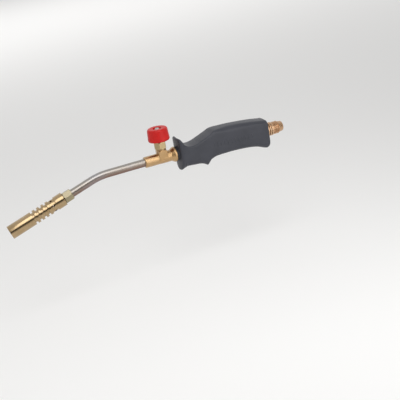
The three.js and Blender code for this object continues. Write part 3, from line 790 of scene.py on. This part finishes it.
# Rounding of the long edges: station, top width, top height, foot width, foot height
CORNERS = [
    (19.3, 6.0, 5.5, 12.0, 14.0),
    (22.6, 6.0, 5.5, 12.0, 14.0),
    (26.0, 4.0, 3.5, 8.0, 8.0),
    (32.0, 2.2, 2.0, 6.0, 6.0),
    (62.0, 2.4, 2.2, 6.0, 6.0),
    (72.0, 5.0, 4.5, 6.0, 6.0),
    (90.0, 8.0, 7.0, 6.0, 6.0),
    (144.5, 6.0, 5.0, 6.5, 6.5),
]
# Inside of the handle: station, top, bottom, half width
CAVITY = [
    (24.5, 7.5, -14.0, 9.8),
    (34.0, 5.6, -14.6, 10.0),
    (46.0, 6.0, -15.6, 10.0),
    (66.0, 13.4, -13.0, 10.0),
    (80.0, 16.0, -12.1, 10.0),
    (106.0, 15.0, -12.8, 10.0),
    (128.0, 12.4, -16.2, 10.0),
    (141.0, 9.8, -18.4, 10.0),
]
HANDLE_FRONT, HANDLE_REAR = HANDLE[0][0], HANDLE[-1][0]
REAR_ROUNDING, FRONT_ROUNDING = 1.0, 0.8
GUARD_FACE, GUARD_BOW, GUARD_DEPTH = 20, 0.0125, 9.0
CROWN = 0.7
SPLIT = 0.06
SECTION_STEPS = 10
# Rows of the skin lie closer on the guard than on the grip
GUARD_ROWS, GUARD_STEP = 34, 0.3
GRIP_START, GRIP_STEP = 31, 0.8
SPIGOT_BORE, REAR_BORE, INLET_DROP = 6.5, 7.3, -2.8


def row_at(rows, station, smooth=True):
    """Values of a station table between its rows, on a smooth curve or eased."""
    index = max(k for k in range(len(rows) - 1) if k == 0 or station > rows[k][0])
    start, end = rows[index], rows[index + 1]
    before, after = rows[max(index - 1, 0)], rows[min(index + 2, len(rows) - 1)]
    span = end[0] - start[0]
    t = min(max((station - start[0]) / span, 0.0), 1.0)
    values = []
    for column in range(1, len(start)):
        if not smooth:
            values.append(start[column] + (end[column] - start[column]) * ease(t))
            continue
        slope_in = (end[column] - before[column]) / (end[0] - before[0]) * span
        slope_out = (after[column] - start[column]) / (after[0] - start[0]) * span
        values.append((2 * t ** 3 - 3 * t ** 2 + 1) * start[column] + (t ** 3 - 2 * t ** 2 + t) * slope_in
                      + (3 * t ** 2 - 2 * t ** 3) * end[column] + (t ** 3 - t ** 2) * slope_out)
    return values


def half_section(top, bottom, width, corner_sizes, crown=CROWN):
    """(y, z) points of one half section: crowned top, rounded corner, flat side, rounded foot, bottom."""
    top_wide, top_high, foot_wide, foot_high = corner_sizes
    flat, foot_flat = width - top_wide, width - foot_wide
    shoulder = top - crown * (flat / width) ** 2 - top_high
    foot = bottom + foot_high
    line = [(flat * k / 6, top - crown * (flat * k / 6 / width) ** 2) for k in range(6)]
    for k in range(SECTION_STEPS + 1):
        turn = math.pi / 2 * k / SECTION_STEPS
        line.append((flat + top_wide * math.sin(turn), shoulder + top_high * math.cos(turn)))
    line += [(width, shoulder + (foot - shoulder) * k / 8) for k in range(1, 8)]
    for k in range(SECTION_STEPS + 1):
        turn = math.pi / 2 * k / SECTION_STEPS
        line.append((foot_flat + foot_wide * math.cos(turn), foot - foot_high * math.sin(turn)))
    line += [(foot_flat * (1 - k / 5), bottom) for k in range(1, 6)]
    return line


def bowed(station, y):
    """The guard's face and rim curve back towards their sides."""
    return station + GUARD_BOW * (1 - ease((station - GUARD_FACE) / GUARD_DEPTH)) * y * y


def outer_rows():
    """Rows of the outer skin from the guard's face to the rear end, both with rounded rims."""
    stations = [HANDLE_FRONT + FRONT_ROUNDING + GUARD_STEP * k for k in range(GUARD_ROWS)]
    grip_rows = int((HANDLE_REAR - REAR_ROUNDING - GRIP_START) / GRIP_STEP) + 1
    stations += [GRIP_START + GRIP_STEP * k for k in range(grip_rows)]
    rims = [(HANDLE_FRONT + FRONT_ROUNDING * (1 - math.sin(math.pi / 2 * k / 6)),
             FRONT_ROUNDING * (1 - math.cos(math.pi / 2 * k / 6))) for k in range(6, 0, -1)]
    rims += [(station, 0.0) for station in stations]
    rims += [(HANDLE_REAR - REAR_ROUNDING * (1 - math.sin(math.pi / 2 * k / 8)),
              REAR_ROUNDING * (1 - math.cos(math.pi / 2 * k / 8))) for k in range(9)]
    rows = []
    for station, inset in rims:
        top, bottom, width = row_at(HANDLE, station)
        corner_sizes = row_at(CORNERS, station, smooth=False)
        section = half_section(top - inset, bottom + inset, width - inset, corner_sizes)
        rows.append([(bowed(station, y), y, z) for y, z in section])
    return rows


def bore_row(station, radius, height, count):
    """Half circle of points round a bore, from its top to its foot."""
    ring = []
    for k in range(count):
        turn = math.pi * k / (count - 1)
        y = radius * math.sin(turn)
        ring.append((bowed(station, y), y, height + radius * math.cos(turn)))
    return ring


def between(first, second, steps, station=None):
    """Rows between two rows; with a station they follow the guard's bowed face."""
    rows = []
    for step in range(1, steps):
        row = []
        for a, b in zip(first, second):
            x, y, z = (a[k] + (b[k] - a[k]) * step / steps for k in range(3))
            row.append((x if station is None else bowed(station, y), y, z))
        rows.append(row)
    return rows


def inner_rows(count):
    """Rows of the inside, from the rear bore through the cavity to the bore round the spigot."""
    front, rear, steps = CAVITY[0][0], CAVITY[-1][0], 39
    rows = [bore_row(HANDLE_REAR, REAR_BORE, INLET_DROP, count),
            bore_row(rear + 0.2, REAR_BORE, INLET_DROP, count)]
    for k in range(steps + 1):
        station = rear - (rear - front) * k / steps
        top, bottom, width = row_at(CAVITY, station)
        rows.append([(station, y, z) for y, z in half_section(top, bottom, width, (4, 4, 4, 4), 0.0)])
    rows += [bore_row(front - 0.2, SPIGOT_BORE, 0.0, count),
             bore_row(HANDLE_FRONT, SPIGOT_BORE, 0.0, count)]
    return rows


def handle_half(name, side):
    """One moulded half: a closed loop of rows over the outside and back through the inside."""
    outer = outer_rows()
    inner = inner_rows(len(outer[0]))
    rows = outer + between(outer[-1], inner[0], 4) + inner + between(inner[-1], outer[0], 8, HANDLE_FRONT)
    points = [(x, side * max(y, SPLIT), z) for row in rows for x, y, z in row]
    width, faces = len(outer[0]), []
    for r in range(len(rows)):
        after = (r + 1) % len(rows)
        for k in range(width - 1):
            faces.append((r * width + k, r * width + k + 1, after * width + k + 1, after * width + k))
    for column in (0, width - 1):
        faces.append([r * width + column for r in range(len(rows))])
    return build(name, points, faces, Matrix.Translation(spindle), angle=MOULDED_ANGLE)


def seal_seat(side):
    """Flat round seat for the flange seal on the guard's bowed face."""
    rear, radius = 22.5, 9.2
    outline = [(HANDLE_FRONT, SPIGOT_BORE), (HANDLE_FRONT, radius), (rear, radius), (rear, SPIGOT_BORE)]
    seat = turned("seat", softened(outline, 0.2), GAS, 96)
    low, high = sorted((side * SPLIT, side * 20))
    return combined("seat", seat, [cuboid(GAS, (19, low, -20), (23, high, 20))], "INTERSECT")


# Station and height of each handle screw, and how far from the middle plane its head begins
SCREWS = [(36, -11.2), (76, 11.8), (131, -13.0)]
SCREW_SEAT = 9.8


def side_place(x, z):
    """Placement on the handle with local X along +Y, at a station and height."""
    spot = spindle + Vector((x, 0, z)) * MM
    return Matrix.Translation(spot) @ Matrix.Rotation(math.pi / 2, 4, "Z")


def grip_bars():
    """Row of plain raised bars on the near side of the grip."""
    count, first, spacing, lean = 12, 67.0, 4.8, math.radians(-2.5)
    bars = []
    for index in range(count):
        x = first + index * spacing
        spot = spindle + Vector((x, -13.0, 1.2 - math.tan(-lean) * (x - first))) * MM
        place = Matrix.Translation(spot) @ Matrix.Rotation(lean, 4, "Y")
        bar = cuboid(place, (-0.75, -0.22, -3.0), (0.75, 0.8, 3.0))
        bevel = bar.modifiers.new("soft", "BEVEL")
        bevel.width = 0.2 * MM
        bevel.segments = 3
        bars.append(applied(bar))
    return bars


def handle_fixing(index, x, z):
    """Cross-slotted screw in its seat on the far side."""
    head = [(-8, 0), (-7, 1.4), (SCREW_SEAT, 1.4), (SCREW_SEAT, 3.1), (SCREW_SEAT + 1.4, 3.1),
            (SCREW_SEAT + 2.2, 2.0), (SCREW_SEAT + 2.2, 0)]
    place = side_place(x, z)
    screw = turned("screw", softened(head, 0.2), place, 56)
    cross = [cuboid(place, (SCREW_SEAT + 1.1, -1.9, -0.4), (SCREW_SEAT + 4, 1.9, 0.4)),
             cuboid(place, (SCREW_SEAT + 1.1, -0.4, -1.9), (SCREW_SEAT + 4, 0.4, 1.9))]
    stand_for(combined(f"handle_fixing_{index}", screw, cross), f"handle_screw_{index}")


def handle():
    """Two halves, the near one with its bars and the far one with posts and seats for the screws."""
    left = handle_half("handle_half_left", -1)
    left = combined("handle_half_left", left, [seal_seat(-1), *grip_bars()], "UNION", MOULDED_ANGLE)
    stand_for(left, "handle_left")
    right = handle_half("handle_half_right", 1)
    posts = [rod(side_place(x, z), 5.0, 11.6, 4.6, 48) for x, z in SCREWS]
    right = combined("handle_half_right", right, [seal_seat(1), *posts], "UNION", MOULDED_ANGLE)
    seats = [rod(side_place(x, z), 9.5, 20, 3.7, 48) for x, z in SCREWS]
    stand_for(combined("handle_half_right", right, seats, angle=MOULDED_ANGLE), "handle_right")
    for index, (x, z) in enumerate(SCREWS, 1):
        handle_fixing(index, x, z)


def flange_seal():
    """Rubber ring between the valve's flange and the guard."""
    ring = [(17.7, 6.6), (17.7, 8.9), (19.0, 8.9), (19.0, 6.6)]
    stand_for(turned("flange_seal_ring", softened(ring, 0.3), GAS, 96), "flange_seal")


# ------------------------------------------------------------------ inlet


def inlet_connector():
    """Brass inlet with collar, three beads, left-hand thread and nose."""
    pitch, depth, points_per_turn = 1.337, 0.72, 14
    thread_start, thread_end, thread_radius = -14.9, -6.9, 8.33
    outline = [(-32.5, 4.8), (-32.5, 9.2), (-27.8, 9.2), (-27.8, 7.0), (-23.2, 7.0)]
    for bead in range(3):
        start = -23.2 + bead * 2.7
        outline += [(start, 8.2), (start + 0.8, 9.0), (start + 1.9, 9.0), (start + 2.7, 8.2)]
    outline += [(-15.1, 7.7), (thread_start, thread_radius)]
    steps = int((thread_end - thread_start) / pitch * points_per_turn)
    thread = [(thread_start + (thread_end - thread_start) * k / steps, thread_radius)
              for k in range(1, steps + 1)]
    nose = [(-6.3, 7.5), (-4.7, 7.3), (-1.0, 6.8), (0, 6.3), (0, 5.0), (-2, 4.0), (-19.8, 4.0),
            (-19.8, 3.0), (-24.2, 3.0), (-24.2, 4.8)]
    profile = softened(outline, 0.25) + thread + softened(nose, 0.2)

    def threaded(station, turn, radius):
        if radius < 7.6 or not thread_start - 0.01 <= station <= thread_end + 0.01:
            return radius
        phase = (station / pitch + turn / TAU) % 1.0
        fade = min(1.0, (station - thread_start) / 0.6, (thread_end - station) / 0.6)
        groove = 0.5 + 0.5 * math.cos(TAU * phase)
        return radius - depth * max(fade, 0.0) * min(1.0, groove * 1.25)

    stand_for(turned("inlet_fitting", profile, INLET, 160, threaded), "inlet_connector")


def inlet_filter():
    """Plain cup that stands for the filter's mesh."""
    cup = [(-19.5, 0), (-19.5, 3.4), (-19.2, 3.65), (-11.5, 3.65), (-11.5, 2.95), (-18.8, 2.95), (-18.8, 0)]
    stand_for(turned("inlet_filter_cup", softened(cup, 0.15), INLET, 64), "inlet_filter")


# ------------------------------------------------------------------ carried-over nodes


def dress_cad_nodes():
    """Hidden pieces keep their CAD shape and get the finish of their slot."""
    for node in ("gas_jet", "jet_seal", "spindle_o_ring", "packing_washer", "gland_packing", "supply_tube"):
        piece = frame["nodes"][node]
        for material_slot in piece.material_slots:
            material_slot.material = MATERIALS[slots[node]]


# ------------------------------------------------------------------ stage and light

# How far the floor reaches each way and how far below the torch it lies, in millimetres
FLOOR_REACH, FLOOR_DROP = 40000, 120
FLOOR_COLOR = (0.89, 0.885, 0.875)
DARK_SIDE = Vector((0.1, -1.0, -0.1))
# Brightness of the room from the end opposite the dark side, at 0, to the dark side, at 1
ROOM_LEVELS = [(0.0, 0.85), (0.5, 0.72), (0.80, 0.5), (0.93, 0.08)]


def add_floor():
    """Plain pale floor well below the torch."""
    height = cad_box[0].z / MM - FLOOR_DROP
    signs = [(-1, -1), (1, -1), (1, 1), (-1, 1)]
    points = [(FLOOR_REACH * x, FLOOR_REACH * y, height) for x, y in signs]
    floor = build("floor", points, [(0, 1, 2, 3)])
    f = Finish("floor_pale", FLOOR_COLOR, 1.0, Specular_IOR_Level=0.0)
    floor.data.materials.append(f.material)


def add_world():
    """Pale room with one soft dark area, low on the side of the room that the camera is on."""
    world = bpy.data.worlds.new("studio")
    world.use_nodes = True
    nodes, links = world.node_tree.nodes, world.node_tree.links
    nodes.clear()
    coords = nodes.new("ShaderNodeTexCoord")
    toward = nodes.new("ShaderNodeVectorMath")
    toward.operation = "DOT_PRODUCT"
    toward.inputs[1].default_value = DARK_SIDE.normalized()
    links.new(coords.outputs["Generated"], toward.inputs[0])
    span = nodes.new("ShaderNodeMapRange")
    span.inputs["From Min"].default_value = -1.0
    links.new(toward.outputs["Value"], span.inputs["Value"])
    ramp = nodes.new("ShaderNodeValToRGB")
    while len(ramp.color_ramp.elements) < len(ROOM_LEVELS):
        ramp.color_ramp.elements.new(0.5)
    for element, (position, value) in zip(ramp.color_ramp.elements, ROOM_LEVELS):
        element.position = position
        element.color = (value, value, value, 1)
    links.new(span.outputs["Result"], ramp.inputs["Fac"])
    room = nodes.new("ShaderNodeBackground")
    output = nodes.new("ShaderNodeOutputWorld")
    links.new(ramp.outputs["Color"], room.inputs["Color"])
    links.new(room.outputs["Background"], output.inputs["Surface"])
    bpy.context.scene.world = world


def softbox(name, place, aim, size, radiance, spread):
    """Rectangular light at place, turned to aim, both in millimetres, with its size in metres.

    radiance is along its axis: Cycles brightens a narrower spread, and gridded takes that out again.
    """
    half = math.radians(spread) / 2
    gridded = 1 - half / math.tan(half)
    data = bpy.data.lights.new(name, "AREA")
    data.shape = "RECTANGLE"
    data.size, data.size_y = size
    data.energy = radiance * math.pi * size[0] * size[1] * gridded
    data.spread = 2 * half
    lamp = bpy.data.objects.new(name, data)
    bpy.context.scene.collection.objects.link(lamp)
    back = (Vector(place) - Vector(aim)).normalized()
    lamp.location = Vector(place) * MM
    lamp.rotation_mode = "QUATERNION"
    lamp.rotation_quaternion = back.to_track_quat("Z", "Y")


def add_lights():
    """Softbox above the camera's side, a gridded panel at its right and a wide light behind."""
    softbox("overhead_softbox", (-330, -580, 700), (-330, 0, 0), (0.8, 0.74), 2.6, 120)
    softbox("right_panel", (130, -560, 150), (-60, 0, 0), (0.42, 0.56), 2.3, 110)
    softbox("floor_light", (-500, 3000, 2200), (-500, 3000, -160), (5.0, 2.0), 2.2, 100)


# ------------------------------------------------------------------ assembly

add_camera()
burner_barrel()
flame_holder()
jet_holder()
neck_tube()
valve_body()
gland_nut()
valve_spindle()
knob()
knob_fastening()
handle()
flange_seal()
inlet_connector()
inlet_filter()
dress_cad_nodes()
add_floor()
add_world()
add_lights()
bpy.context.scene.view_settings.view_transform = "Standard"
